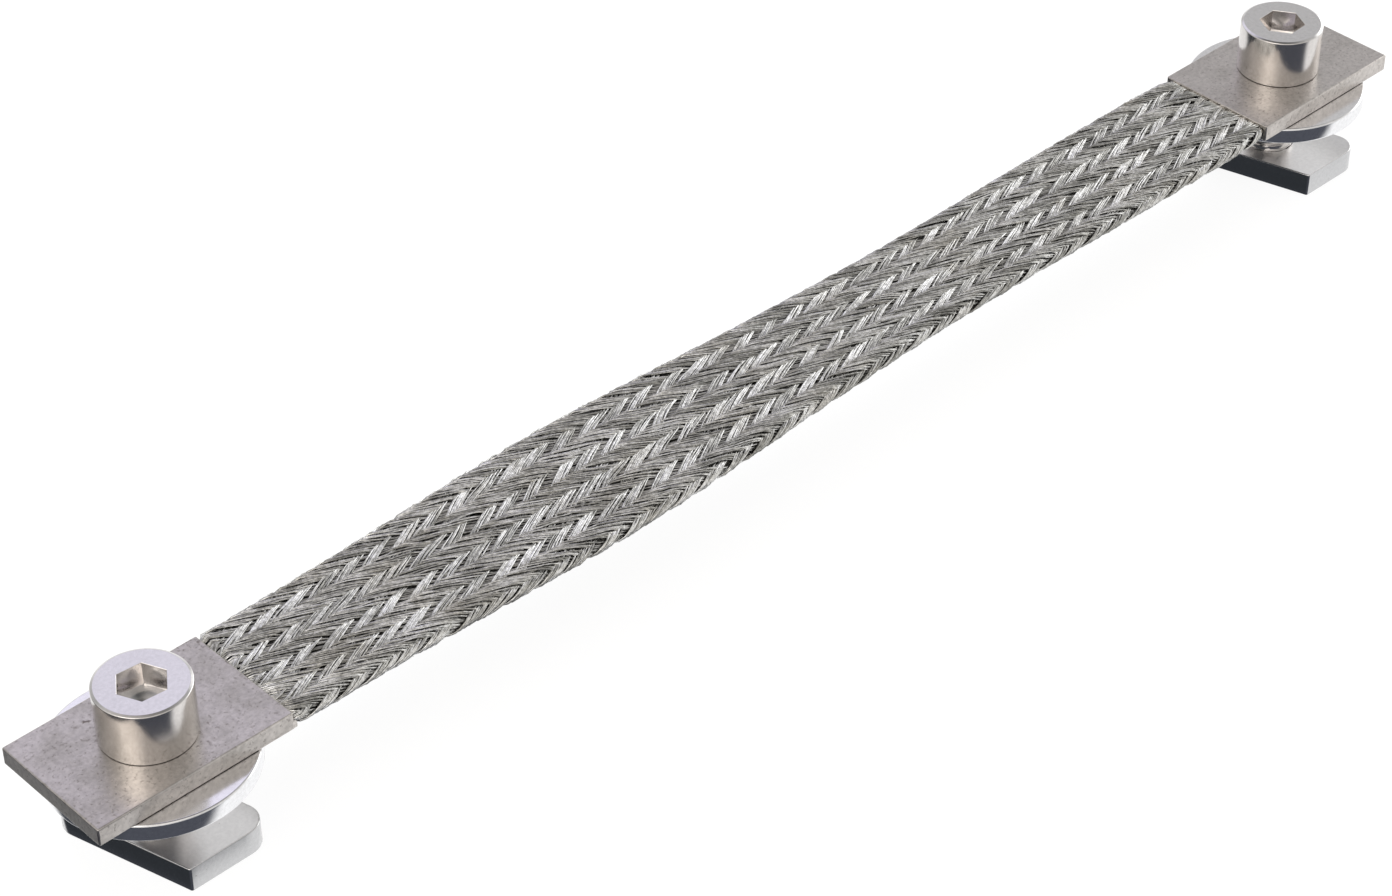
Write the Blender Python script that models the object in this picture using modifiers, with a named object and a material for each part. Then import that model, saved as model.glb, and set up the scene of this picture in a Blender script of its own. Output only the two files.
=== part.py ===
# Flexible busbar braid: a flat woven strap with a pressed lug at each end, and at each lug
# a socket head screw, a wide washer and a slot nut that hooks behind the lips of a profile.
# Units are metres. X runs along the strap, Y across it, +Z is up, and the origin lies
# midway between the screws on the plane that both slot nuts stand on.

import math

import bmesh
import bpy
from mathutils import Matrix, Vector

# Layout
HOLE_SPAN = 0.172          # from screw axis to screw axis
SEAT_GAP = 0.0002          # hairline between two pieces stacked on each other
SHANK_CLEARANCE = 0.0003   # around the screw's shank, on the radius

# Slot nut: a parallelogram plate with two opposite corners rounded
NUT_THICKNESS = 0.003
NUT_LENGTH = 0.0175        # across the strap
NUT_WIDTH = 0.0102         # square to its long faces
NUT_SKEW = math.radians(15.5)
NUT_ROUND_RADIUS = 0.0024
NUT_SHARP_RADIUS = 0.0003
NUT_EDGE_BREAK = 0.00015
SLOT_LIP_SPACE = 0.0064    # from the nut up to the washer

# Washer
WASHER_RADIUS = 0.0109
WASHER_THICKNESS = 0.0021
WASHER_EDGE_RADIUS = 0.0003

# Screw
SHANK_RADIUS = 0.003
HEAD_RADIUS = 0.005
HEAD_HEIGHT = 0.0061
HEAD_EDGE_BREAK = 0.00018
SHANK_END_BREAK = 0.0005
SHANK_RECESS = 0.0003      # the shank ends this far above the nut's underside
SOCKET_ACROSS_FLATS = 0.0048
SOCKET_DEPTH = 0.0027
SOCKET_POINT_DEPTH = 0.0009
SOCKET_TIP_RADIUS = 0.0002
SOCKET_POINT_OVERLAP = 0.00001   # so the drill point opens into the socket
LEFT_SOCKET_TURN = math.radians(54.4)
RIGHT_SOCKET_TURN = math.radians(3.0)

# Lug: a flattened sleeve, open towards the strap and closed at its outer end
LUG_LENGTH = 0.0233
LUG_WIDTH = 0.0156
LUG_THICKNESS = 0.002
LUG_WALL = 0.0004
LUG_HOLE_INSET = 0.01165   # from the outer end to the screw axis
LUG_EDGE_RADIUS = 0.0003

# Strap: a braided tube pressed flat, with its wires held inside the lugs
PLAITS_EACH_WAY = 20
PLAIT_PITCH = 0.00371      # along the strap, from one plait to the next
STRAP_WIDTH = 0.0159       # where it is neither bunched nor drawn out
STRAP_THICKNESS = 0.0017
BULGE_AT = -0.0302
BULGE_EXTRA = 0.0029
BULGE_REACH = 0.0244
WAIST_AT = 0.0236
WAIST_LOSS = 0.00116
WAIST_REACH = 0.0217
RELIEF_HEIGHT = 0.00022    # of a plait's crest over the mean surface
DIVE_SHARE = 0.3           # of the relief, lost where a plait dives under the next one
CROSSING_SHARE = 0.1       # of the relief, kept where two plaits cross between rows
FLARE_LENGTH = 0.0016      # from a lug's mouth to the strap's full width
MOUTH_CLEARANCE = 0.0003   # from the lug's mouth to where the strap spreads
TAIL_SIDE_CLEARANCE = 0.0003
TAIL_FACE_CLEARANCE = 0.00025
LEAST_RING_SPACING = 0.0002

# Facets and small limits of the modelling
HEAD_STEPS = 64
WASHER_STEPS = 80
DRILL_POINT_STEPS = 24
ARC_STEPS = 8
CORNER_ANGLE = math.radians(40)    # edges turned by more than this are bevelled
CREASE_ANGLE = math.radians(35)    # and shaded sharp above this
SEAM_MERGE = 0.00001
WELD_DISTANCE = 0.000001

# Heights, from the ground up
NUT_TOP = NUT_THICKNESS
WASHER_BASE = NUT_TOP + SLOT_LIP_SPACE
WASHER_TOP = WASHER_BASE + WASHER_THICKNESS
LUG_BASE = WASHER_TOP + SEAT_GAP
LUG_TOP = LUG_BASE + LUG_THICKNESS
STRAP_LEVEL = LUG_BASE + LUG_THICKNESS / 2
HEAD_BASE = LUG_TOP + SEAT_GAP

# Distances along the strap
SCREW_AT = HOLE_SPAN / 2
LUG_OUTER_END = SCREW_AT + LUG_HOLE_INSET
LUG_MOUTH = LUG_OUTER_END - LUG_LENGTH
BORE_RADIUS = SHANK_RADIUS + SHANK_CLEARANCE
FLARE_START = LUG_MOUTH - MOUTH_CLEARANCE
TAIL_WIDTH = LUG_WIDTH - 2 * LUG_WALL - 2 * TAIL_SIDE_CLEARANCE
TAIL_THICKNESS = LUG_THICKNESS - 2 * LUG_WALL - 2 * TAIL_FACE_CLEARANCE
TAIL_END = LUG_OUTER_END - LUG_WALL - TAIL_SIDE_CLEARANCE


def clear_scene():
    for old in list(bpy.data.objects):
        bpy.data.objects.remove(old, do_unlink=True)


def make_collection(name):
    collection = bpy.data.collections.new(name)
    bpy.context.scene.collection.children.link(collection)
    return collection


def metal(name, color, roughness):
    material = bpy.data.materials.new(name)
    material.use_nodes = True
    shader = material.node_tree.nodes["Principled BSDF"]
    shader.inputs["Base Color"].default_value = (*color, 1.0)
    shader.inputs["Roughness"].default_value = roughness
    shader.inputs["Metallic"].default_value = 1.0
    return material


def object_from_bmesh(name, bm, collection, material=None):
    mesh = bpy.data.meshes.new(name)
    bm.to_mesh(mesh)
    bm.free()
    if material:
        mesh.materials.append(material)
    item = bpy.data.objects.new(name, mesh)
    collection.objects.link(item)
    return item


def shade_round(item):
    item.data.shade_smooth()
    item.data.set_sharp_from_angle(angle=CREASE_ANGLE)


def add_box(name, size, collection, material=None):
    bm = bmesh.new()
    bmesh.ops.create_cube(bm, size=1.0)
    bmesh.ops.scale(bm, vec=Vector(size), verts=bm.verts)
    return object_from_bmesh(name, bm, collection, material)


def add_prism(name, sides, radius, depth, collection, tip_radius=None):
    bm = bmesh.new()
    bmesh.ops.create_cone(
        bm, cap_ends=True, segments=sides, depth=depth,
        radius1=radius if tip_radius is None else tip_radius, radius2=radius,
    )
    return object_from_bmesh(name, bm, collection)


def add_turned(name, profile, closed, steps, collection, material):
    """A profile of (radius, height) points, turned once about Z."""
    mesh = bpy.data.meshes.new(name)
    corners = [(radius, 0.0, height) for radius, height in profile]
    edges = [(i, i + 1) for i in range(len(corners) - 1)]
    if closed:
        edges.append((len(corners) - 1, 0))
    mesh.from_pydata(corners, edges, [])
    mesh.materials.append(material)
    item = bpy.data.objects.new(name, mesh)
    collection.objects.link(item)
    screw = item.modifiers.new("turn", "SCREW")
    screw.axis = "Z"
    screw.angle = 2 * math.pi
    screw.steps = steps
    screw.render_steps = steps
    screw.use_merge_vertices = True
    screw.merge_threshold = SEAM_MERGE
    return item


def cut(item, cutter, label):
    cutter.hide_render = True
    cutter.display_type = "WIRE"
    boolean = item.modifiers.new(label, "BOOLEAN")
    boolean.operation = "DIFFERENCE"
    boolean.solver = "EXACT"
    boolean.object = cutter


def bevel_edges(item, width, segments):
    bevel = item.modifiers.new("edges", "BEVEL")
    bevel.width = width
    bevel.segments = segments
    bevel.limit_method = "ANGLE"
    bevel.angle_limit = CORNER_ANGLE


def bore_cutter(name, at, low, high, radius, collection):
    cutter = add_prism(name, HEAD_STEPS, radius, high - low, collection)
    cutter.location = (at, 0.0, (low + high) / 2)
    return cutter


# Slot nut

def rounded_corner(before, corner, after, radius):
    """Points of the arc that rounds one corner of an outline."""
    into = (corner - before).normalized()
    out = (after - corner).normalized()
    turn = into.angle(out)
    reach = radius * math.tan(turn / 2)
    start = corner - into * reach
    centre = start + Vector((-into.y, into.x)) * radius
    spoke = start - centre
    points = []
    for step in range(ARC_STEPS + 1):
        angle = turn * step / ARC_STEPS
        points.append(centre + Matrix.Rotation(angle, 2) @ spoke)
    return points


def nut_outline():
    half_length = NUT_LENGTH / 2
    half_face = NUT_WIDTH / 2 / math.cos(NUT_SKEW)
    lean = half_length * math.tan(NUT_SKEW)
    corners = [
        Vector((-half_face + lean, -half_length)),
        Vector((half_face + lean, -half_length)),
        Vector((half_face - lean, half_length)),
        Vector((-half_face - lean, half_length)),
    ]
    radii = [NUT_SHARP_RADIUS, NUT_ROUND_RADIUS, NUT_SHARP_RADIUS, NUT_ROUND_RADIUS]
    outline = []
    for i, corner in enumerate(corners):
        outline += rounded_corner(corners[i - 1], corner, corners[(i + 1) % 4], radii[i])
    return outline


def mesh_from_curve(item, collection):
    """A mesh object of the same shape, with its loose caps welded on."""
    graph = bpy.context.evaluated_depsgraph_get()
    mesh = bpy.data.meshes.new_from_object(item.evaluated_get(graph))
    bm = bmesh.new()
    bm.from_mesh(mesh)
    bmesh.ops.remove_doubles(bm, verts=bm.verts, dist=WELD_DISTANCE)
    bmesh.ops.recalc_face_normals(bm, faces=bm.faces)
    bm.to_mesh(mesh)
    bm.free()
    name = item.name
    place = item.matrix_world.copy()
    bpy.data.objects.remove(item, do_unlink=True)
    solid = bpy.data.objects.new(name, mesh)
    solid.matrix_world = place
    collection.objects.link(solid)
    return solid


def make_nut(name, at, parts, cutters, material):
    curve = bpy.data.curves.new(name, "CURVE")
    curve.dimensions = "2D"
    curve.fill_mode = "BOTH"
    curve.extrude = NUT_THICKNESS / 2
    spline = curve.splines.new("POLY")
    outline = nut_outline()
    spline.points.add(len(outline) - 1)
    for point, corner in zip(spline.points, outline):
        point.co = (corner.x, corner.y, 0.0, 1.0)
    spline.use_cyclic_u = True
    plate = bpy.data.objects.new(name, curve)
    plate.location = (at, 0.0, NUT_THICKNESS / 2)
    parts.objects.link(plate)
    bpy.context.view_layer.update()

    nut = mesh_from_curve(plate, parts)
    nut.data.materials.clear()
    nut.data.materials.append(material)
    bevel_edges(nut, NUT_EDGE_BREAK, 1)
    bore = bore_cutter(f"{name}_bore", at, -SEAT_GAP, NUT_TOP + SEAT_GAP, BORE_RADIUS, cutters)
    cut(nut, bore, "bore")
    shade_round(nut)
    return nut


# Washer

def make_washer(name, at, parts, material):
    round_off = WASHER_EDGE_RADIUS
    inset = round_off * (1 - math.sqrt(0.5))
    top = WASHER_THICKNESS
    profile = [
        (BORE_RADIUS, top),
        (WASHER_RADIUS - round_off, top),
        (WASHER_RADIUS - inset, top - inset),
        (WASHER_RADIUS, top - round_off),
        (WASHER_RADIUS, round_off),
        (WASHER_RADIUS - inset, inset),
        (WASHER_RADIUS - round_off, 0.0),
        (BORE_RADIUS, 0.0),
    ]
    washer = add_turned(name, profile, True, WASHER_STEPS, parts, material)
    washer.location = (at, 0.0, WASHER_BASE)
    shade_round(washer)
    return washer


# Screw

def make_screw(name, at, socket_turn, parts, cutters, material):
    length = HEAD_BASE - SHANK_RECESS
    profile = [
        (0.0, HEAD_HEIGHT),
        (HEAD_RADIUS - HEAD_EDGE_BREAK, HEAD_HEIGHT),
        (HEAD_RADIUS, HEAD_HEIGHT - HEAD_EDGE_BREAK),
        (HEAD_RADIUS, 0.0),
        (SHANK_RADIUS, 0.0),
        (SHANK_RADIUS, SHANK_END_BREAK - length),
        (SHANK_RADIUS - SHANK_END_BREAK, -length),
        (0.0, -length),
    ]
    screw = add_turned(name, profile, False, HEAD_STEPS, parts, material)
    screw.location = (at, 0.0, HEAD_BASE)

    across_corners = SOCKET_ACROSS_FLATS / 2 / math.cos(math.radians(30))
    head_top = HEAD_BASE + HEAD_HEIGHT
    socket = add_prism(f"{name}_socket", 6, across_corners, 2 * SOCKET_DEPTH, cutters)
    socket.location = (at, 0.0, head_top)
    socket.rotation_euler.z = socket_turn + math.radians(30)
    cut(screw, socket, "socket")

    point = add_prism(
        f"{name}_drill_point", DRILL_POINT_STEPS, SOCKET_ACROSS_FLATS / 2,
        SOCKET_POINT_DEPTH, cutters, tip_radius=SOCKET_TIP_RADIUS,
    )
    point_top = head_top - SOCKET_DEPTH + SOCKET_POINT_OVERLAP
    point.location = (at, 0.0, point_top - SOCKET_POINT_DEPTH / 2)
    cut(screw, point, "drill point")
    return screw


# Lug

def make_lug(name, side, parts, cutters, material):
    lug = add_box(name, (LUG_LENGTH, LUG_WIDTH, LUG_THICKNESS), parts, material)
    lug.location = (side * (LUG_MOUTH + LUG_LENGTH / 2), 0.0, STRAP_LEVEL)
    bevel_edges(lug, LUG_EDGE_RADIUS, 2)

    pocket_depth = LUG_LENGTH - LUG_WALL
    pocket = add_box(
        f"{name}_pocket",
        (2 * pocket_depth, LUG_WIDTH - 2 * LUG_WALL, LUG_THICKNESS - 2 * LUG_WALL),
        cutters,
    )
    pocket.location = (side * LUG_MOUTH, 0.0, STRAP_LEVEL)
    cut(lug, pocket, "pocket")

    bore = bore_cutter(
        f"{name}_bore", side * SCREW_AT, WASHER_TOP, HEAD_BASE, BORE_RADIUS, cutters
    )
    cut(lug, bore, "bore")
    shade_round(lug)
    return lug


# Strap

def free_width(x):
    bulge = BULGE_EXTRA * math.exp(-(((x - BULGE_AT) / BULGE_REACH) ** 2))
    waist = WAIST_LOSS * math.exp(-(((x - WAIST_AT) / WAIST_REACH) ** 2))
    return STRAP_WIDTH + bulge - waist


def flare(x):
    """0 inside a lug, 1 where the strap has its full section, and smooth between."""
    share = (FLARE_START - abs(x)) / FLARE_LENGTH
    share = min(max(share, 0.0), 1.0)
    return share * share * (3 - 2 * share)


def section_point(turn, width, thickness, lift):
    """The point at a share of the way round a flat section with round edges."""
    radius = thickness / 2
    flat = width - thickness
    arc = math.pi * radius
    way = (turn % 1.0) * 2 * (flat + arc)
    if way < flat / 2:
        return way, radius + lift
    way -= flat / 2
    if way < arc:
        angle = way / radius
        reach = radius + lift
        return flat / 2 + reach * math.sin(angle), reach * math.cos(angle)
    way -= arc
    if way < flat:
        return flat / 2 - way, -radius - lift
    way -= flat
    if way < arc:
        angle = math.pi + way / radius
        reach = radius + lift
        return -flat / 2 + reach * math.sin(angle), reach * math.cos(angle)
    way -= arc
    return way - flat / 2, radius + lift


def weave_lift(half_pitch, ring_step):
    """Height of a lattice point over the mean surface, as a share of the relief.

    Plaits of one hand show in every other row. A row is two steps high, its crests cross
    the middle at even half pitches, and they dive under the next row at odd ones.
    """
    even = half_pitch % 2 == 0
    if ring_step % 2 == 0:
        return 1.0 if even else -DIVE_SHARE
    return -1.0 if even else CROSSING_SHARE


def ring_points(x, ring_steps, half_pitch):
    share = flare(x)
    width = TAIL_WIDTH + (free_width(x) - TAIL_WIDTH) * share
    thickness = TAIL_THICKNESS + (STRAP_THICKNESS - TAIL_THICKNESS) * share
    points = []
    for step in range(ring_steps):
        lift = RELIEF_HEIGHT * share * weave_lift(half_pitch, step)
        across, up = section_point(step / ring_steps, width, thickness, lift)
        points.append(Vector((x, across, up)))
    return points


def make_strap(name, parts, cutters, material):
    """A loft through rings half a pitch apart, with creases laid along the plaits."""
    ring_steps = 2 * PLAITS_EACH_WAY
    reach = math.floor(FLARE_START / (PLAIT_PITCH / 2)) - 1
    stations = [(i * PLAIT_PITCH / 2, i) for i in range(-reach, reach + 1)]
    ends = [FLARE_START - FLARE_LENGTH / 2, FLARE_START, TAIL_END]
    ends = [x for x in ends if x > stations[-1][0] + LEAST_RING_SPACING]
    stations += [(x, reach + 1 + i) for i, x in enumerate(ends)]
    stations = [(-x, -reach - 1 - i) for i, x in enumerate(ends)][::-1] + stations

    bm = bmesh.new()
    rings = []
    for x, half_pitch in stations:
        rings.append([bm.verts.new(point) for point in ring_points(x, ring_steps, half_pitch)])
    for left, right in zip(rings, rings[1:]):
        for step in range(ring_steps):
            after = (step + 1) % ring_steps
            a, b, c, d = left[step], right[step], right[after], left[after]
            right_hand_row = (step % 4) in (1, 2)
            if right_hand_row:
                bm.faces.new((a, c, b))
                bm.faces.new((a, d, c))
            else:
                bm.faces.new((a, d, b))
                bm.faces.new((b, d, c))
    bm.faces.new(rings[0])
    bm.faces.new(rings[-1][::-1])
    bmesh.ops.recalc_face_normals(bm, faces=bm.faces)
    strap = object_from_bmesh(name, bm, parts, material)
    strap.location = (0.0, 0.0, STRAP_LEVEL)
    for label, side in (("left", -1), ("right", 1)):
        hole = bore_cutter(
            f"{label}_tail_hole", side * SCREW_AT, LUG_BASE, LUG_TOP, BORE_RADIUS, cutters
        )
        cut(strap, hole, f"{label} hole")
    return strap


def build():
    clear_scene()
    parts = make_collection("flexible_busbar_braid")
    cutters = make_collection("cutters")

    ends = (("left", -1, LEFT_SOCKET_TURN), ("right", 1, RIGHT_SOCKET_TURN))
    make_strap("braided_strap", parts, cutters, metal("tinned wire", (0.52, 0.52, 0.5), 0.4))
    for label, side, socket_turn in ends:
        at = side * SCREW_AT
        tinned_sheet = metal(f"{label} lug tin", (0.55, 0.52, 0.49), 0.42)
        screw_steel = metal(f"{label} screw steel", (0.7, 0.68, 0.7), 0.16)
        washer_steel = metal(f"{label} washer steel", (0.66, 0.67, 0.7), 0.14)
        nut_steel = metal(f"{label} nut steel", (0.6, 0.6, 0.62), 0.2)
        make_lug(f"{label}_lug", side, parts, cutters, tinned_sheet)
        make_screw(f"{label}_screw", at, socket_turn, parts, cutters, screw_steel)
        make_washer(f"{label}_washer", at, parts, washer_steel)
        make_nut(f"{label}_slot_nut", at, parts, cutters, nut_steel)


build()
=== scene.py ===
import math

import bmesh
import bpy
import numpy as np
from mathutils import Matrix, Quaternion, Vector


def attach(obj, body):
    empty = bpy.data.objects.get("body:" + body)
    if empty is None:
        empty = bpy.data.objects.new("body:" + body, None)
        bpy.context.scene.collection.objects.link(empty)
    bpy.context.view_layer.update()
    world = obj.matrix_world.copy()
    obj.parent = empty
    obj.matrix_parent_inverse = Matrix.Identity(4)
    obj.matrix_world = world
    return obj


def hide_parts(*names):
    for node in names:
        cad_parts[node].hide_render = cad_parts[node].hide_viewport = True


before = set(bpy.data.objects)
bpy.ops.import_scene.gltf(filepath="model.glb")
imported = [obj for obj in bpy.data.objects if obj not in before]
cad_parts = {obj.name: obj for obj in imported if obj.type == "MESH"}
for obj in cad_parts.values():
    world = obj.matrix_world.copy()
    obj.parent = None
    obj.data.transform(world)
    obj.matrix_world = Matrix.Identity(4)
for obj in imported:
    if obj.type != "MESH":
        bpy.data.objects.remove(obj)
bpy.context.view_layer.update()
print("frame loaded")

mm = 0.001

# what both ends share: the heights the pieces are stacked at and where the screws stand
stack = {
    "screwAt": 86.0 * mm,
    "washerBase": 9.4 * mm,
    "washerTop": 11.5 * mm,
    "lugBase": 11.57 * mm,
    "lugTop": 13.7 * mm,
    "strapLevel": 12.7 * mm,
    "headBase": 13.76 * mm,
    "headTop": 20.0 * mm,
    "boreRadius": 3.3 * mm,
}

cameraView = {
    "place": (-216.141, -213.985, 244.017),  # mm
    "aim": (-16.87, -4.131, 12.7),           # mm
    "rollDegrees": 0.18,
    "lens": 89.744,
    "sensorWidth": 36.0,
    "clip": (0.01, 20.0),        # m
}


def makeCamera():
    camera = bpy.data.objects.new("photoCamera", bpy.data.cameras.new("photoCamera"))
    bpy.context.scene.collection.objects.link(camera)
    place = Vector(cameraView["place"]) * mm
    look = (Vector(cameraView["aim"]) * mm - place).normalized()
    roll = Quaternion(look, math.radians(cameraView["rollDegrees"]))
    camera.rotation_mode = "QUATERNION"
    camera.rotation_quaternion = roll @ look.to_track_quat("-Z", "Y")
    camera.location = place
    camera.data.lens = cameraView["lens"]
    camera.data.sensor_width = cameraView["sensorWidth"]
    camera.data.clip_start, camera.data.clip_end = cameraView["clip"]
    bpy.context.scene.camera = camera


makeCamera()


# Node helpers: an input is a plain value, or the socket of another node that feeds it.
def addNode(tree, kind, inputs=None, **settings):
    node = tree.nodes.new(kind)
    for name, value in settings.items():
        setattr(node, name, value)
    for key, value in (inputs or {}).items():
        if isinstance(value, bpy.types.NodeSocket):
            tree.links.new(value, node.inputs[key])
        else:
            node.inputs[key].default_value = value
    return node


def noiseValue(tree, vector, scale, detail, roughness):
    found = addNode(tree, "ShaderNodeTexNoise", {
        "Vector": vector, "Scale": scale, "Detail": detail, "Roughness": roughness,
    })
    return found.outputs[0]


# a value between low and high turned into one between toLow and toHigh, with soft ends
def spread(tree, value, low, high, toLow=0.0, toHigh=1.0):
    found = addNode(tree, "ShaderNodeMapRange", {
        "Value": value, "From Min": low, "From Max": high, "To Min": toLow, "To Max": toHigh,
    }, interpolation_type="SMOOTHSTEP")
    return found.outputs[0]


def calc(tree, operation, first, second):
    return addNode(tree, "ShaderNodeMath", {0: first, 1: second}, operation=operation).outputs[0]


def mixColor(tree, share, first, second, blend="MIX"):
    found = addNode(tree, "ShaderNodeMix", {0: share, 6: first, 7: second},
                    data_type="RGBA", blend_type=blend)
    return found.outputs[2]


def shaded(tree, color, share):
    return mixColor(tree, 1.0, color, share, "MULTIPLY")


def stretched(tree, vector, scale):
    found = addNode(tree, "ShaderNodeVectorMath", {0: vector, 1: scale}, operation="MULTIPLY")
    return found.outputs[0]


# how far up a surface looks, from -1 to 1
def upwards(tree):
    normals = addNode(tree, "ShaderNodeTexCoord").outputs["Normal"]
    return addNode(tree, "ShaderNodeSeparateXYZ", {0: normals}).outputs["Z"]


def bumped(tree, height, strength, distance, onto=None):
    inputs = {"Height": height, "Strength": strength, "Distance": distance}
    if onto is not None:
        inputs["Normal"] = onto
    return addNode(tree, "ShaderNodeBump", inputs).outputs[0]


def newFinish(name):
    material = bpy.data.materials.new(name)
    material.use_nodes = True
    tree = material.node_tree
    shader = tree.nodes["Principled BSDF"]
    shader.inputs["Metallic"].default_value = 1.0
    places = addNode(tree, "ShaderNodeTexCoord").outputs["Object"]
    return material, tree, shader, places


def join(tree, shader, color, roughness, normal):
    tree.links.new(color, shader.inputs["Base Color"])
    tree.links.new(roughness, shader.inputs["Roughness"])
    tree.links.new(normal, shader.inputs["Normal"])


# a mesh as a piece of the scene that stands for a node of the frame
def showPiece(name, mesh, finish, node, sharpDegrees=32):
    mesh.materials.append(finish)
    mesh.shade_smooth()
    mesh.set_sharp_from_angle(angle=math.radians(sharpDegrees))
    piece = bpy.data.objects.new(name, mesh)
    bpy.context.scene.collection.objects.link(piece)
    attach(piece, "root")
    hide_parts(node)


# skin over rings of equally many points each
def loft(bm, rings, closeEnds=False, joinLast=False):
    rows = [[bm.verts.new(point) for point in ring] for ring in rings]
    pairs = list(zip(rows, rows[1:]))
    if joinLast:
        pairs.append((rows[-1], rows[0]))
    for lower, upper in pairs:
        for i in range(len(lower)):
            j = (i + 1) % len(lower)
            bm.faces.new((lower[i], lower[j], upper[j], upper[i]))
    if closeEnds:
        bm.faces.new(rows[0][::-1])
        bm.faces.new(rows[-1])


def finishedMesh(name, bm):
    bmesh.ops.recalc_face_normals(bm, faces=bm.faces)
    mesh = bpy.data.meshes.new(name)
    bm.to_mesh(mesh)
    bm.free()
    return mesh


def circle(radius, height, steps, at=0.0, start=0.0):
    turns = [start + 2 * math.pi * i / steps for i in range(steps)]
    return [Vector((at + radius * math.cos(t), radius * math.sin(t), height)) for t in turns]


# The strap: a braided tube pressed flat. Every plait is a ribbon of wires that goes over two
# plaits of the other hand and under the next two.
strap = {
    "plaitsEachWay": 20,
    "plaitPitch": 3.71 * mm,
    "wiresPerPlait": 8,
    "wireDiameter": 0.225 * mm,
    "width": 15.9 * mm,
    "thickness": 1.7 * mm,
    "bulge": (-30.2 * mm, 2.9 * mm, 24.4 * mm),   # where, how much, how far
    "waist": (23.6 * mm, -1.16 * mm, 21.7 * mm),
    "rightNeck": (77.0 * mm, -2.0 * mm, 4.0 * mm),
    "spreadFrom": 75.0 * mm,     # where the wires start to spread, just inside the lug
    "spreadLength": 1.5 * mm,
    "tailWidth": 14.2 * mm,
    "tailThickness": 0.7 * mm,
    "wireEnd": 75.9 * mm,
    "waveHeight": 0.11 * mm,
    "waveFlatness": 1.7,         # more than 1 gives flat crests and short dives
    "waveBias": 0.24,            # keeps the falling plaits on top a little longer
    "ribbonLift": -0.06 * mm,
    "plaitWander": 0.09,         # how far whole plaits wander, as a share of their room
    "foldWave": 0.6,             # how much higher the waves stand at the two folded edges
    "foldReach": 0.035,          # of that, in turns round the section
    "toneAlong": 0.27,           # how much the tone of a wire changes along it
    "samplesPerPitch": 6.0,
    "sides": 4,
    "insideDepth": 0.34 * mm,    # of the inside sheet, painted dark as the shade in the tube, under the mean surface
    "tailDepthShare": 0.3,       # of the same depth, in the tails
    "insideStations": 120,
    "insideSteps": 56,
    "wanderReach": 5,            # samples from one random place of a wire to the next
    "plaitWanderReach": 7,
    "toneReach": 2,
    "proudRange": (-0.09 * mm, 0.06 * mm),   # how low and how high a single wire may lie
    "wireSpread": (0.08, 0.82, 1.15),        # of the diameter: deviation, least and most
    # the tone of the floats painted as highlights
    "paintedHighlightTone": 1.15,
    "floats": 64,                # of one plait from end to end, with some to spare
    "seed": 11,
}

# how the plaits of each hand lie: the share of their room that they fill, how much their
# edges droop, how far single wires wander, the share of floats painted at the brightest tone as
# painted highlights, and how much the wires of a float differ in tone; the rising hand is painted
# lighter, as painted light
plaitStyles = {
    "rising": {"hand": 1, "fill": 0.70, "droop": 0.05 * mm, "sideWander": 0.06 * mm,
               "heightWander": 0.05 * mm, "paintedHighlightFloats": 0.16, "tones": (2.6, 2.2),
               "wireTones": 0.40},
    "falling": {"hand": -1, "fill": 1.0, "droop": 0.02 * mm, "sideWander": 0.13 * mm,
                "heightWander": 0.065 * mm, "paintedHighlightFloats": 0.03, "tones": (2.8, 3.2),
                "wireTones": 0.45},
}


def strapWidth(x):
    total = np.full_like(x, strap["width"])
    for where, amount, reach in (strap["bulge"], strap["waist"], strap["rightNeck"]):
        total += amount * np.exp(-((x - where) / reach) ** 2)
    return total


def spreadShare(x):
    share = np.clip((strap["spreadFrom"] - np.abs(x)) / strap["spreadLength"], 0, 1)
    return share * share * (3 - 2 * share)


# a point at a share of the way round the flat section, lifted off its mean surface
def strapPoint(x, turn, lift, share):
    width = strap["tailWidth"] + (strapWidth(x) - strap["tailWidth"]) * share
    thick = strap["tailThickness"] + (strap["thickness"] - strap["tailThickness"]) * share
    radius = thick / 2
    flat = width - thick
    arc = math.pi * radius
    way = np.mod(turn, 1.0) * 2 * (flat + arc)
    ends = [flat / 2, flat / 2 + arc, 1.5 * flat + arc, 1.5 * flat + 2 * arc]
    inside = [way < end for end in ends]
    angle = np.select(inside, [0 * way, (way - ends[0]) / radius, 0 * way + math.pi,
                               math.pi + (way - ends[2]) / radius], 2 * math.pi)
    middle = np.select(inside, [way, flat / 2, flat / 2 - (way - ends[1]), -flat / 2],
                       way - ends[3] - flat / 2)
    reach = radius + lift
    y = middle + reach * np.sin(angle)
    z = reach * np.cos(angle) + stack["strapLevel"]
    normal = np.stack([0 * x, np.sin(angle), np.cos(angle)], -1)
    return np.stack([x, y, z], -1), normal


# one slowly wandering line of numbers for each row
def smoothRandom(random, rows, samples, spacing):
    knots = random.normal(0, 1, (rows, samples // spacing + 3))
    at = np.arange(samples) / spacing
    low = at.astype(int)
    share = at - low
    share = share * share * (3 - 2 * share)
    return knots[:, low] * (1 - share) + knots[:, low + 1] * share


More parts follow.
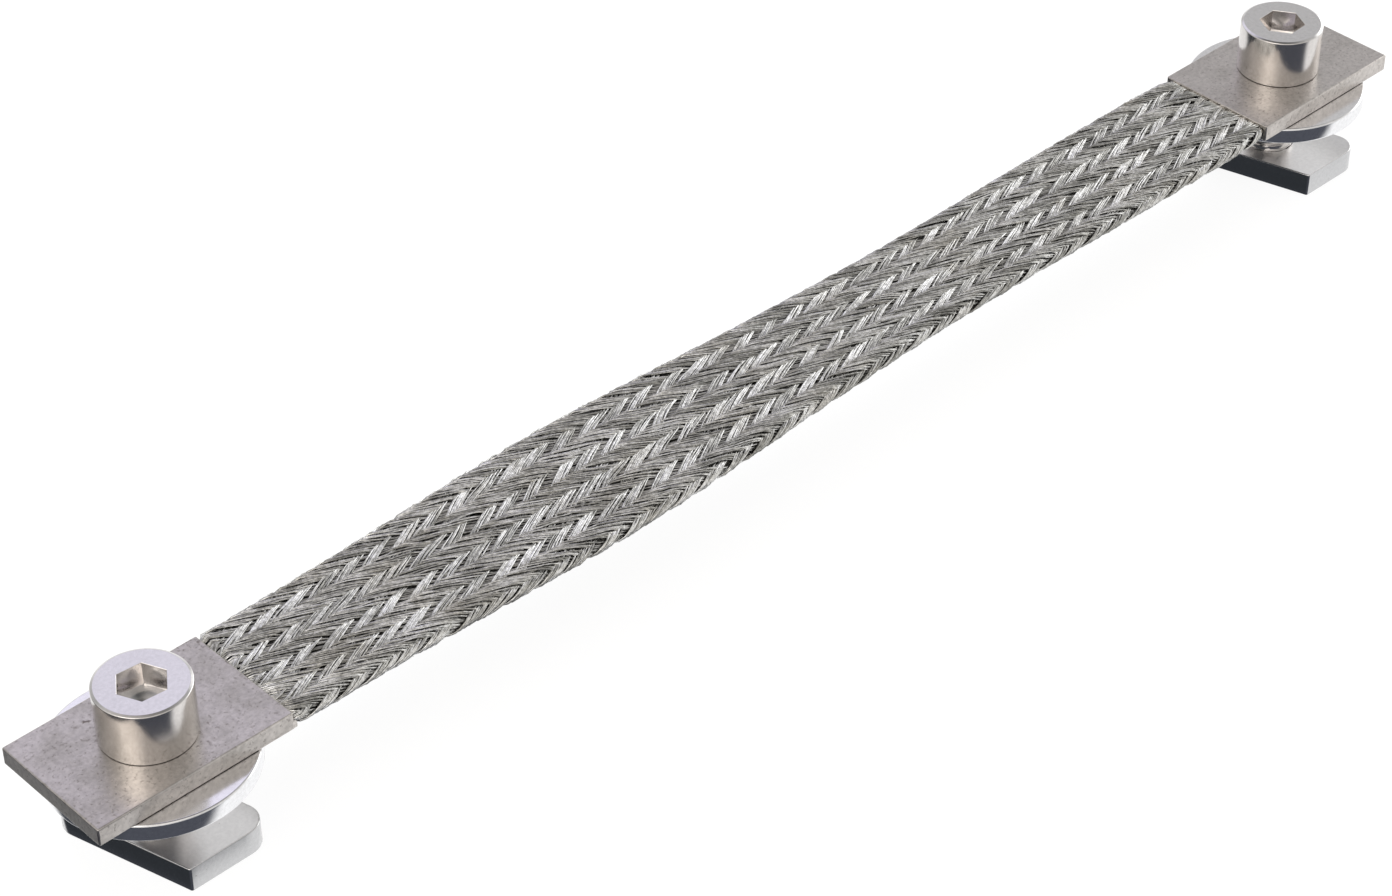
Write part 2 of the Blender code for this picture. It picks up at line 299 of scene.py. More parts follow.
# centre lines, outward normals, radii and tones of the wires of some plaits of one hand
def wireLines(style, plaitList, random):
    plaits, count, hand = strap["plaitsEachWay"], strap["wiresPerPlait"], style["hand"]
    step = strap["plaitPitch"] / strap["samplesPerPitch"]
    half = int(strap["wireEnd"] / step)
    x = np.arange(-half, half + 1) * step
    x = np.concatenate([[-strap["wireEnd"]], x, [strap["wireEnd"]]])
    samples = len(x)
    wires = len(plaitList) * count
    plait = np.repeat(np.array(plaitList), count)
    seat = np.tile((np.arange(count) - (count - 1) / 2) / count, len(plaitList))[:, None]
    reach = strap["wanderReach"]
    wander = smoothRandom(random, wires, samples, reach) * style["sideWander"]
    around = strap["width"] * 2 + strap["thickness"]
    x2 = np.broadcast_to(x, (wires, samples))
    share = spreadShare(x2)
    middleTurn = (plait[:, None] + 0.25) / plaits + hand * x2 / (plaits * strap["plaitPitch"])
    astray = smoothRandom(random, len(plaitList), samples, strap["plaitWanderReach"])
    astray = astray * strap["plaitWander"] / plaits
    middleTurn = middleTurn + np.repeat(astray, count, axis=0)
    turn = middleTurn + seat * style["fill"] / plaits + wander / around
    wave = -hand * (np.cos(2 * math.pi * plaits / 2 * turn) + strap["waveBias"])
    wave = np.clip(wave * strap["waveFlatness"], -1, 1)
    wave = wave * (1.5 - 0.5 * wave * wave)
    proud = smoothRandom(random, wires, samples, reach) * style["heightWander"]
    proud = np.clip(proud, *strap["proudRange"]) - style["droop"] * (2 * seat) ** 2
    fold = np.exp(-((np.mod(turn, 0.5) - 0.25) / strap["foldReach"]) ** 2)
    height = strap["waveHeight"] * (1 + strap["foldWave"] * fold)
    lift = (strap["ribbonLift"] + height * wave + proud) * share
    centre, normal = strapPoint(x2, turn, lift, share)
    # each float of each plait has its own tone, and each wire departs from it
    floats = strap["floats"]
    floatIndex = np.floor(middleTurn * plaits / 2 + 0.25 * (2 - hand)).astype(int) % floats
    floatTones = random.beta(*style["tones"], (plaits, floats))
    # painted highlight: a share of floats is painted at the brightest tone, as if it caught the
    # light
    paintedHighlight = random.random((plaits, floats)) < style["paintedHighlightFloats"]
    floatTones = np.where(paintedHighlight, strap["paintedHighlightTone"], floatTones)
    wireTones = random.normal(0, style["wireTones"], (wires, floats))
    tone = floatTones[plait[:, None], floatIndex]
    tone = tone + np.take_along_axis(wireTones, floatIndex, 1)
    along = smoothRandom(random, wires, samples, strap["toneReach"]) * strap["toneAlong"]
    tone = np.clip(tone + along, 0, 1)
    deviation, least, most = strap["wireSpread"]
    size = np.clip(random.normal(1, deviation, (wires, 1)), least, most)
    radius = np.broadcast_to(strap["wireDiameter"] / 2 * size, (wires, samples))
    return centre, normal, radius, tone, wave


def wireMesh(name, style, plaitList, random):
    centre, normal, radius, tone, wave = wireLines(style, plaitList, random)
    wires, samples = radius.shape
    sides = strap["sides"]
    along = np.gradient(centre, axis=1)
    along /= np.linalg.norm(along, axis=2, keepdims=True)
    across = np.cross(along, normal)
    across /= np.linalg.norm(across, axis=2, keepdims=True)
    out = np.cross(across, along)
    angle = 2 * math.pi * np.arange(sides) / sides
    rim = (np.cos(angle)[None, None, :, None] * out[:, :, None, :]
           + np.sin(angle)[None, None, :, None] * across[:, :, None, :])
    points = centre[:, :, None, :] + rim * radius[:, :, None, None]
    w, s, k = np.meshgrid(np.arange(wires), np.arange(samples - 1), np.arange(sides),
                          indexing="ij")
    after = (k + 1) % sides
    corner = (w * samples + s) * sides
    quads = np.stack([corner + k, corner + after, corner + sides + after, corner + sides + k], -1)
    quads = quads.reshape(-1, 4)
    starts = (np.arange(wires) * samples * sides)[:, None]
    firstCaps = starts + np.arange(sides)[::-1]
    lastCaps = starts + (samples - 1) * sides + np.arange(sides)
    faces = quads.tolist() + firstCaps.tolist() + lastCaps.tolist()
    mesh = bpy.data.meshes.new(name)
    mesh.from_pydata(points.reshape(-1, 3).tolist(), [], faces)
    # the map runs along each wire, one strip a wire, with a margin at both sides of a strip
    uv = mesh.uv_layers.new(name="OFBake")
    margin = 0.08
    inner = 1 - 2 * margin
    u0, v0 = s / (samples - 1), (w + margin + inner * k / sides) / wires
    u1, v1 = (s + 1) / (samples - 1), (w + margin + inner * (k + 1) / sides) / wires
    flatUv = np.stack([u0, v0, u0, v1, u1, v1, u1, v0], -1).reshape(-1)
    allUv = np.zeros(len(mesh.loops) * 2, np.float32)
    allUv[:flatUv.size] = flatUv
    uv.data.foreach_set("uv", allUv)
    for label, values in (("wireTone", tone), ("wireDepth", wave)):
        found = mesh.attributes.new(label, "FLOAT", "POINT")
        found.data.foreach_set("value", np.repeat(values.reshape(-1), sides).astype(np.float32))
    return mesh


wireFinish = {
    "dark": (0.47, 0.465, 0.44, 1),
    "light": (0.97, 0.965, 0.94, 1),
    "tarnish": (0.56, 0.53, 0.47, 1),
    "roughness": (0.22, 0.42),
    "lineBump": (0.35, 0.03 * mm),   # strength and depth of the lines that drawing leaves
    "lineScale": (60, 1400, 1),      # of the same lines, over the wires' map
    "speckScale": 2600.0,
    "patchScale": 160.0,
    "lineShade": (0.78, 1.08),
    "speckShade": (0.70, 1.22),
    "paintedDiveShade": 0.7,                # painted shade, where a plait is under another one
}


def makeWireFinish():
    material, tree, shader, places = newFinish("tinned wire")
    tone = addNode(tree, "ShaderNodeAttribute", attribute_name="wireTone").outputs["Fac"]
    depth = addNode(tree, "ShaderNodeAttribute", attribute_name="wireDepth").outputs["Fac"]
    strip = addNode(tree, "ShaderNodeUVMap", uv_map="OFBake").outputs[0]
    lines = noiseValue(tree, stretched(tree, strip, wireFinish["lineScale"]), 1.0, 3.0, 0.6)
    specks = noiseValue(tree, places, wireFinish["speckScale"], 3.0, 0.6)
    patches = noiseValue(tree, places, wireFinish["patchScale"], 4.0, 0.6)
    color = mixColor(tree, tone, wireFinish["dark"], wireFinish["light"])
    color = mixColor(tree, spread(tree, patches, 0.5, 0.72, 0, 0.45), color, wireFinish["tarnish"])
    shade = spread(tree, lines, 0.25, 0.7, *wireFinish["lineShade"])
    grain = spread(tree, specks, 0.35, 0.65, *wireFinish["speckShade"])
    # painted shade: the wires are painted darker where their plait dives under another one
    dive = spread(tree, depth, -1.0, 0.4, wireFinish["paintedDiveShade"], 1.0)
    shade = calc(tree, "MULTIPLY", calc(tree, "MULTIPLY", shade, grain), dive)
    color = shaded(tree, color, shade)
    low, high = wireFinish["roughness"]
    roughness = spread(tree, calc(tree, "ADD", lines, patches), 0.7, 1.3, low, high)
    join(tree, shader, color, roughness, bumped(tree, lines, *wireFinish["lineBump"]))
    return material


# painted shade: the inside sheet is painted far darker than the wire
insideShadeFinish = {
    "dark": (0.07, 0.068, 0.062, 1),
    "light": (0.22, 0.215, 0.20, 1),
    "grainScale": (2600, 5200, 5200),
    "grainBump": (0.6, 0.05 * mm),
    "roughness": (0.5, 0.65),
}


def makeInsideShadeFinish():
    material, tree, shader, places = newFinish("strap inside painted shade")
    grain = noiseValue(tree, stretched(tree, places, insideShadeFinish["grainScale"]), 1.0, 3.0, 0.6)
    color = mixColor(tree, spread(tree, grain, 0.35, 0.65), insideShadeFinish["dark"],
                     insideShadeFinish["light"])
    roughness = spread(tree, grain, 0.3, 0.7, *insideShadeFinish["roughness"])
    join(tree, shader, color, roughness, bumped(tree, grain, *insideShadeFinish["grainBump"]))
    return material


# a sheet under the plaits for the wires inside the tube, painted dark as their shade and seen only
# through the small openings
def makeInside():
    stations, steps = strap["insideStations"], strap["insideSteps"]
    x = np.linspace(-strap["wireEnd"], strap["wireEnd"], stations)[:, None]
    x = np.broadcast_to(x, (stations, steps))
    share = spreadShare(x)
    turn = np.broadcast_to(np.arange(steps) / steps, (stations, steps))
    inTail = strap["tailDepthShare"]
    depth = strap["insideDepth"] * (inTail + (1 - inTail) * share)
    points, _ = strapPoint(x, turn, -depth, share)
    bm = bmesh.new()
    loft(bm, points.tolist(), closeEnds=True)
    showPiece("strapInsideShade", finishedMesh("strapInsideShade", bm), makeInsideShadeFinish(),
              "braided_strap", sharpDegrees=60)


def makeStrap():
    finish = makeWireFinish()
    makeInside()
    for number, (label, style) in enumerate(plaitStyles.items()):
        for half, suffix in enumerate(("Even", "Odd")):
            name = f"{label}Plaits{suffix}"
            plaitList = range(half, strap["plaitsEachWay"], 2)
            random = np.random.default_rng(strap["seed"] + 2 * number + half)
            mesh = wireMesh(name, style, plaitList, random)
            showPiece(name, mesh, finish, "braided_strap", sharpDegrees=100)
            print(f"{name}: {len(mesh.polygons)} faces")


makeStrap()


# The lugs: flattened sleeves of tinned sheet
lug = {
    "length": 23.3 * mm,
    "width": 15.6 * mm,
    "thickness": 2.0 * mm,       # of the sheet sleeve, which sets the pocket's height
    "wall": 0.4 * mm,
    "outerEnd": 97.65 * mm,
    "edgeRadius": 0.17 * mm,
    "flatBorder": 0.03 * mm,     # keeps the shading of the flat faces flat
    "pocketDepth": 22.9 * mm,
    "pocketRounding": 0.15 * mm,
    "foldReach": 0.38 * mm,      # of the side wall past the mouth, at the near corner
    "foldHeight": 1.0 * mm,
    "foldRise": 0.1 * mm,        # over the lug's underside
    "foldRounding": 0.08 * mm,
}

lugFinish = {
    "tin": (0.545, 0.512, 0.486, 1),
    "cloud": (0.475, 0.447, 0.42, 1),
    "speck": (0.12, 0.095, 0.08, 1),
    "rub": (0.66, 0.63, 0.595, 1),
    "paintedSideLight": 1.2,            # painted light: how much lighter the upright sides are painted than the top
    "roughness": (0.28, 0.40),
    "cloudScale": 230.0,
    "grainScale": 1900.0,
    "rolledScale": (900, 5200, 900),
    "rubScale": (260, 900, 400),
    "pitGroupScale": 120.0,
    "pitScale": 1500.0,
    "dustScale": 2900.0,
    "grainShade": (0.88, 1.1),
    "cloudBump": (0.25, 0.05 * mm),
    "grainBump": (0.3, 0.01 * mm),
    "pitBump": (0.5, -0.03 * mm),
}


def makeLugFinish():
    material, tree, shader, places = newFinish("tinned sheet")
    clouds = noiseValue(tree, places, lugFinish["cloudScale"], 6.0, 0.62)
    grain = noiseValue(tree, places, lugFinish["grainScale"], 4.0, 0.6)
    rolled = noiseValue(tree, stretched(tree, places, lugFinish["rolledScale"]), 1.0, 3.0, 0.6)
    color = mixColor(tree, spread(tree, clouds, 0.38, 0.66), lugFinish["tin"], lugFinish["cloud"])
    color = shaded(tree, color, spread(tree, grain, 0.3, 0.7, *lugFinish["grainShade"]))
    # painted light: the upright sides are painted lighter than the top
    level = calc(tree, "ABSOLUTE", upwards(tree), 0.0)
    color = shaded(tree, color, spread(tree, level, 0.3, 0.8, lugFinish["paintedSideLight"], 1.0))
    # pits come in groups, where a slow noise lets them
    groups = noiseValue(tree, places, lugFinish["pitGroupScale"], 2.0, 0.5)
    pits = noiseValue(tree, places, lugFinish["pitScale"], 2.0, 0.5)
    pitShare = calc(tree, "MULTIPLY", spread(tree, groups, 0.5, 0.68),
                    spread(tree, pits, 0.62, 0.72))
    dust = noiseValue(tree, places, lugFinish["dustScale"], 2.0, 0.5)
    pitShare = calc(tree, "MAXIMUM", pitShare, spread(tree, dust, 0.58, 0.71, 0, 0.5))
    color = mixColor(tree, calc(tree, "MULTIPLY", pitShare, 0.75), color, lugFinish["speck"])
    rubs = noiseValue(tree, stretched(tree, places, lugFinish["rubScale"]), 1.0, 5.0, 0.7)
    color = mixColor(tree, spread(tree, rubs, 0.62, 0.78, 0, 0.5), color, lugFinish["rub"])
    low, high = lugFinish["roughness"]
    roughness = spread(tree, calc(tree, "ADD", clouds, rolled), 0.7, 1.3, low, high)
    normal = bumped(tree, clouds, *lugFinish["cloudBump"])
    normal = bumped(tree, grain, *lugFinish["grainBump"], normal)
    normal = bumped(tree, pitShare, *lugFinish["pitBump"], normal)
    join(tree, shader, color, roughness, normal)
    return material


def roundedBox(size, centre, rounding, segments):
    bm = bmesh.new()
    bmesh.ops.create_cube(bm, size=1.0)
    bmesh.ops.scale(bm, vec=Vector(size), verts=bm.verts)
    bmesh.ops.translate(bm, vec=Vector(centre), verts=bm.verts)
    bmesh.ops.bevel(bm, geom=bm.edges[:], offset=rounding, segments=segments, profile=0.5,
                    affect="EDGES")
    return bm


def looseObject(name, bm):
    mesh = finishedMesh(name, bm)
    item = bpy.data.objects.new(name, mesh)
    bpy.context.scene.collection.objects.link(item)
    return item


# the body with each tool cut from it or added to it, as one plain mesh
def carved(name, body, tools):
    for operation, tool in tools:
        change = body.modifiers.new("change", "BOOLEAN")
        change.operation = operation
        change.solver = "EXACT"
        change.object = tool
    bpy.context.view_layer.update()
    graph = bpy.context.evaluated_depsgraph_get()
    mesh = bpy.data.meshes.new_from_object(body.evaluated_get(graph))
    mesh.name = name
    for item in [body] + [tool for _, tool in tools]:
        bpy.data.objects.remove(item, do_unlink=True)
    return mesh


def makeLug(name, side, finish):
    mouth = lug["outerEnd"] - lug["length"]
    middle = side * (mouth + lug["length"] / 2)
    thick = stack["lugTop"] - stack["lugBase"]
    level = (stack["lugTop"] + stack["lugBase"]) / 2
    bm = roundedBox((lug["length"], lug["width"], thick), (middle, 0, level),
                    lug["edgeRadius"], 4)
    flats = sorted(bm.faces, key=lambda face: face.calc_area())[-6:]
    bmesh.ops.inset_individual(bm, faces=flats, thickness=lug["flatBorder"],
                               use_even_offset=True)
    body = looseObject(name, bm)
    tools = []
    # the left lug's side wall is pressed out a little past its mouth, at the near corner
    if side < 0:
        reach, height = lug["foldReach"], lug["foldHeight"]
        inward = 0.01 * mm       # from the side's face, so that no two faces share a plane
        fold = roundedBox((4 * reach, lug["wall"], height),
                          (-mouth - reach, -lug["width"] / 2 + lug["wall"] / 2 + inward,
                           stack["lugBase"] + height / 2 + lug["foldRise"]),
                          lug["foldRounding"], 2)
        tools.append(("UNION", looseObject("fold", fold)))
    inner = roundedBox((2 * lug["pocketDepth"], lug["width"] - 2 * lug["wall"],
                        lug["thickness"] - 2 * lug["wall"]),
                       (side * mouth, 0, stack["strapLevel"]), lug["pocketRounding"], 2)
    tools.append(("DIFFERENCE", looseObject("pocket", inner)))
    bore = bmesh.new()
    rings = [circle(stack["boreRadius"], z, 64, side * stack["screwAt"])
             for z in (stack["washerTop"], stack["headBase"])]
    loft(bore, rings, closeEnds=True)
    tools.append(("DIFFERENCE", looseObject("bore", bore)))
    mesh = carved(name, body, tools)
    mesh.materials.clear()
    showPiece(name, mesh, finish, name)


lugTin = makeLugFinish()
makeLug("left_lug", -1, lugTin)
makeLug("right_lug", 1, lugTin)
print("lugs made")


# The screws: socket heads with a threaded shank
screw = {
    "headRadius": 5.0 * mm,
    "edgeRadius": 0.13 * mm,      # between the head's side and its chamfer
    "chamferWidth": 0.26 * mm,
    "chamferDegrees": 24.5,       # down from the head's top
    "edgeSteps": 4,
    "sideShares": (0.2, 0.5, 0.8),         # rings up the head's side
    "chamferShares": (0.12, 0.88, 1.0),    # rings over the chamfer, near its borders
    "baseBreak": 0.03 * mm,
    "neck": (0.1 * mm, 0.05 * mm),         # where the shank widens into the head
    "shankRadius": 3.0 * mm,
    "threadRoot": 2.6 * mm,       # the grooves go three quarters of the way down to it
    "threadPitch": 1.0 * mm,
    "flankSteepness": 2.6,
    "crestFlat": 0.55,
    "rowsPerPitch": 8,
    "threadFade": 1.2 * mm,       # over which the thread runs out
    "plainLength": 9.0 * mm,      # of shank under the head, down to just above the nut
    "endBreak": 0.5 * mm,
    "endRingShare": 0.3,          # of the root's radius, for a ring on the shank's end
    "shankEnd": 0.3 * mm,         # height of the shank's end
    "acrossFlats": 4.8 * mm,
    "socketRingShare": 1.35,      # of the socket's half width, for a ring round it
    "socketBreak": 0.035 * mm,
    "socketDepth": 2.7 * mm,
    "drillShare": 0.985,          # of the socket's half width
    "pointShare": 0.52,           # of the same, half way down the drill's point
    "pointDepth": 0.9 * mm,
    "tipRadius": 0.2 * mm,
    "leftSocketTurn": 54.4,       # degrees
    "rightSocketTurn": 3.0,
    "flatBorder": 0.03 * mm,
    "steps": 96,
}


# as many points as the circles have, in step with them, corners included
def hexagon(acrossFlats, turn, height, at, steps):
    reach = acrossFlats / 2 / math.cos(math.radians(30))
    corners = [turn + math.radians(60 * i) for i in range(6)]
    points = []
    perSide = steps // 6
    for i in range(6):
        first = Vector((math.cos(corners[i]), math.sin(corners[i]), 0)) * reach
        after = corners[(i + 1) % 6]
        second = Vector((math.cos(after), math.sin(after), 0)) * reach
        for k in range(perSide):
            points.append(first.lerp(second, k / perSide) + Vector((at, 0, height)))
    return points


def makeScrew(name, side, socketTurn, finish):
    at = side * stack["screwAt"]
    steps, top, base = screw["steps"], stack["headTop"], stack["headBase"]
    start = math.radians(socketTurn)

    def ring(radius, height):
        return circle(radius, height, steps, at, start)

    # up the shank: thread, plain part, head, and down into the socket
    shank, low, high = screw["shankRadius"], screw["shankEnd"], base - screw["plainLength"]
    rings = [ring(screw["threadRoot"] * screw["endRingShare"], low),
             ring(shank - screw["endBreak"], low)]
    threadRows = int((high - low) / screw["threadPitch"] * screw["rowsPerPitch"])
    for row in range(1, threadRows + 1):
        z = low + (high - low) * row / threadRows
        points = []
        for i in range(steps):
            turn = i / steps
            phase = (z / screw["threadPitch"] - turn) % 1.0
            groove = abs(phase - 0.5) * screw["flankSteepness"] - screw["crestFlat"]
            depth = (shank - screw["threadRoot"]) * min(max(groove, 0.0), 1.0)
            fade = min((high - z) / screw["threadFade"], 1.0)
            fromEnd = (z - low) / screw["endBreak"]
            limit = shank - screw["endBreak"] * max(1 - fromEnd, 0)
            radius = min(shank - depth * fade, limit)
            angle = start + 2 * math.pi * turn
            points.append(Vector((at + radius * math.cos(angle), radius * math.sin(angle), z)))
        rings.append(points)
    head, edge = screw["headRadius"], screw["edgeRadius"]
    slope = math.radians(screw["chamferDegrees"])
    chamferIn = screw["chamferWidth"] * math.cos(slope)
    chamferDrop = screw["chamferWidth"] * math.sin(slope)
    edgeIn = edge * (1 - math.sin(slope))
    edgeLevel = top - chamferDrop - edge * math.cos(slope)
    neckReach, neckHeight = screw["neck"]
    rings += [ring(shank, base - neckHeight), ring(shank + neckReach, base),
              ring(head - screw["baseBreak"], base), ring(head, base + screw["baseBreak"])]
    for share in screw["sideShares"]:
        rings.append(ring(head, base + (top - base) * share))
    for i in range(screw["edgeSteps"] + 1):
        angle = (math.pi / 2 - slope) * i / screw["edgeSteps"]
        rings.append(ring(head - edge * (1 - math.cos(angle)), edgeLevel + edge * math.sin(angle)))
    for share in screw["chamferShares"]:
        rings.append(ring(head - edgeIn - chamferIn * share, top - chamferDrop * (1 - share)))
    rings.append(ring(head - edgeIn - chamferIn - screw["flatBorder"], top))
    flats, breakWidth = screw["acrossFlats"], screw["socketBreak"]
    floor = top - screw["socketDepth"]
    tip = floor - screw["pointDepth"]
    rings += [ring(flats / 2 * screw["socketRingShare"], top),
              hexagon(flats + 2 * breakWidth, start, top, at, steps),
              hexagon(flats, start, top - breakWidth, at, steps),
              hexagon(flats, start, floor, at, steps),
              ring(flats / 2 * screw["drillShare"], floor),
              ring(flats / 2 * screw["pointShare"], (tip + floor) / 2),
              ring(screw["tipRadius"], tip)]
    bm = bmesh.new()
    loft(bm, rings, closeEnds=True)
    showPiece(name, finishedMesh(name, bm), finish, name, sharpDegrees=28)


# The plated fasteners share one way of making their finish, and the pattern in it
plating = {
    "cloudScale": 260.0,
    "grainScale": 2400.0,
    "markScale": (3800, 700, 700),
    "speckScale": 1300.0,
    "speck": (0.3, 0.28, 0.27, 1),
    "grainShade": (0.95, 1.03),
    "markDepth": 0.006 * mm,
    "cloudBump": (0.004, 0.02 * mm),
}
# "top" is the colour of the faces that look up, painted light and shade that sets the tops apart
# from the sides, "dulled" the share that a worn spot keeps of it
screwFinish = {
    "name": "screw plating",
    "metal": (0.74, 0.71, 0.69, 1),
    "top": (0.72, 0.705, 0.70, 1),
    "topRoughness": 0.0,
    "dulled": 0.975,
    "chamferUp": 0.91,           # how far up the head's chamfer looks
    "chamferPolish": 0.35,       # share of the roughness that the chamfer keeps
    "roughness": (0.17, 0.21),
    "scratches": 0.01,
}
washerFinish = {
    "name": "washer plating",
    "metal": (0.93, 0.93, 0.945, 1),
    "top": (0.88, 0.87, 0.875, 1),
    "topRoughness": 0.02,
    "dulled": 0.97,
    "roughness": (0.12, 0.15),
    "scratches": 0.01,
}
nutFinish = {
    "name": "nut plating",
    "metal": (0.60, 0.60, 0.607, 1),
    "top": (0.73, 0.72, 0.712, 1),
    "topRoughness": 0.13,
    "dulled": 0.97,
    "roughness": (0.15, 0.18),
    "scratches": 0.008,
}


def makePlating(look):
    material, tree, shader, places = newFinish(look["name"])
    clouds = noiseValue(tree, places, plating["cloudScale"], 5.0, 0.6)
    grain = noiseValue(tree, places, plating["grainScale"], 3.0, 0.6)
    marks = noiseValue(tree, stretched(tree, places, plating["markScale"]), 1.0, 3.0, 0.65)
    specks = noiseValue(tree, places, plating["speckScale"], 2.0, 0.5)
    up = upwards(tree)
    # painted light and shade: the faces that look up get a tone of their own, apart from the sides
    top = spread(tree, up, 0.6, 0.95)
    color = mixColor(tree, top, look["metal"], look["top"])
    color = shaded(tree, color, spread(tree, clouds, 0.45, 0.7, 1.0, look["dulled"]))
    color = shaded(tree, color, spread(tree, grain, 0.3, 0.7, *plating["grainShade"]))
    color = mixColor(tree, spread(tree, specks, 0.7, 0.78, 0, 0.35), color, plating["speck"])
    low, high = look["roughness"]
    roughness = spread(tree, calc(tree, "ADD", clouds, marks), 0.75, 1.3, low, high)
    roughness = calc(tree, "ADD", roughness, calc(tree, "MULTIPLY", top, look["topRoughness"]))
    if "chamferPolish" in look:
        tilt = calc(tree, "ABSOLUTE", calc(tree, "SUBTRACT", up, look["chamferUp"]), 0.0)
        polish = spread(tree, tilt, 0.03, 0.06, look["chamferPolish"], 1.0)
        roughness = calc(tree, "MULTIPLY", roughness, polish)
    normal = bumped(tree, marks, look["scratches"], plating["markDepth"])
    normal = bumped(tree, clouds, *plating["cloudBump"], normal)
    join(tree, shader, color, roughness, normal)
    return material


screwMetal = makePlating(screwFinish)
makeScrew("left_screw", -1, screw["leftSocketTurn"], screwMetal)
makeScrew("right_screw", 1, screw["rightSocketTurn"], screwMetal)
print("screws made")


# The washers
washer = {
    "radius": 10.9 * mm,
    "edgeRadius": 0.28 * mm,
    "boreBreak": 0.1 * mm,
    "flatBorder": 0.03 * mm,
    "middleShare": 0.6,          # of the radius, for a ring on each flat face
    "steps": 160,
    "arcSteps": 4,
}


def makeWasher(name, side, finish):
    at = side * stack["screwAt"]
    base, top = stack["washerBase"], stack["washerTop"]
    outer, edge, border = washer["radius"], washer["edgeRadius"], washer["flatBorder"]
    middle = outer * washer["middleShare"]
    bore, boreBreak = stack["boreRadius"], washer["boreBreak"]
    arc = [math.pi / 2 * i / washer["arcSteps"] for i in range(washer["arcSteps"] + 1)]
    profile = [(bore, base + boreBreak), (bore + boreBreak, base), (middle, base)]
    profile += [(outer - edge * (1 - math.sin(a)), base + edge * (1 - math.cos(a))) for a in arc]
    profile += [(outer - edge * (1 - math.cos(a)), top - edge * (1 - math.sin(a))) for a in arc]
    profile += [(outer - edge - border, top), (middle, top),
                (bore + boreBreak + border, top), (bore + boreBreak, top),
                (bore, top - boreBreak)]
    bm = bmesh.new()
    loft(bm, [circle(r, z, washer["steps"], at) for r, z in profile], joinLast=True)
    showPiece(name, finishedMesh(name, bm), finish, name)


washerMetal = makePlating(washerFinish)
makeWasher("left_washer", -1, washerMetal)
makeWasher("right_washer", 1, washerMetal)
print("washers made")


# The slot nuts: skewed plates with two rounded corners
nut = {
    "length": 17.5 * mm,
    "width": 10.2 * mm,
    "thickness": 3.0 * mm,
    "skewDegrees": 15.5,
    "roundRadius": 2.4 * mm,
    "sharpRadius": 0.3 * mm,
    "edgeRadius": 0.14 * mm,
    "boreRadius": 3.02 * mm,     # closed on the thread, whose crests just enter its flats
    "boreBreak": 0.05 * mm,
    "flatBorder": 0.03 * mm,
    "cornerSteps": 12,
    "faceSteps": 10,
    "arcSteps": 3,
}


def nutOutline(inset):
    skew = math.radians(nut["skewDegrees"])
    halfLength = nut["length"] / 2
    halfFace = nut["width"] / 2 / math.cos(skew)
    lean = halfLength * math.tan(skew)
    corners = [Vector((-halfFace + lean, -halfLength)), Vector((halfFace + lean, -halfLength)),
               Vector((halfFace - lean, halfLength)), Vector((-halfFace - lean, halfLength))]
    radii = [nut["sharpRadius"], nut["roundRadius"]] * 2
    arcs = []
    for i, corner in enumerate(corners):
        into = (corner - corners[i - 1]).normalized()
        away = (corners[(i + 1) % 4] - corner).normalized()
        bend = into.angle(away)
        start = corner - into * radii[i] * math.tan(bend / 2)
        inward = Vector((-into.y, into.x))
        centre = start + inward * radii[i]
        arc = []
        for k in range(nut["cornerSteps"] + 1):
            angle = bend * k / nut["cornerSteps"]
            outward = Vector((-inward.x * math.cos(angle) + inward.y * math.sin(angle),
                              -inward.y * math.cos(angle) - inward.x * math.sin(angle)))
            arc.append(centre + outward * (radii[i] - inset))
        arcs.append(arc)
    outline = []
    for i, arc in enumerate(arcs):
        outline += arc
        first, second = arc[-1], arcs[(i + 1) % 4][0]
        outline += [first.lerp(second, k / nut["faceSteps"]) for k in range(1, nut["faceSteps"])]
    return outline


def makeNut(name, side, finish):
    at = side * stack["screwAt"]
    edge, top = nut["edgeRadius"], nut["thickness"]
    outer = nutOutline(0.0)
    turns = [math.atan2(p.y, p.x) for p in outer]

    def outlineRing(inset, height):
        return [Vector((at + p.x, p.y, height)) for p in nutOutline(inset)]

    def holeRing(radius, height):
        return [Vector((at + radius * math.cos(t), radius * math.sin(t), height)) for t in turns]

    bore, boreBreak, border = nut["boreRadius"], nut["boreBreak"], nut["flatBorder"]
    arc = [math.pi / 2 * i / nut["arcSteps"] for i in range(nut["arcSteps"] + 1)]
    rings = [holeRing(bore, boreBreak), holeRing(bore + boreBreak, 0)]
    rings += [outlineRing(edge * (1 - math.sin(a)), edge * (1 - math.cos(a))) for a in arc]
    rings += [outlineRing(edge * (1 - math.cos(a)), top - edge * (1 - math.sin(a))) for a in arc]
    rings += [outlineRing(edge + border, top), holeRing(bore + boreBreak + border, top),
              holeRing(bore + boreBreak, top), holeRing(bore, top - boreBreak)]
    bm = bmesh.new()
    loft(bm, rings, joinLast=True)
    showPiece(name, finishedMesh(name, bm), finish, name)


nutMetal = makePlating(nutFinish)
makeNut("left_slot_nut", -1, nutMetal)
makeNut("right_slot_nut", 1, nutMetal)
print("slot nuts made")


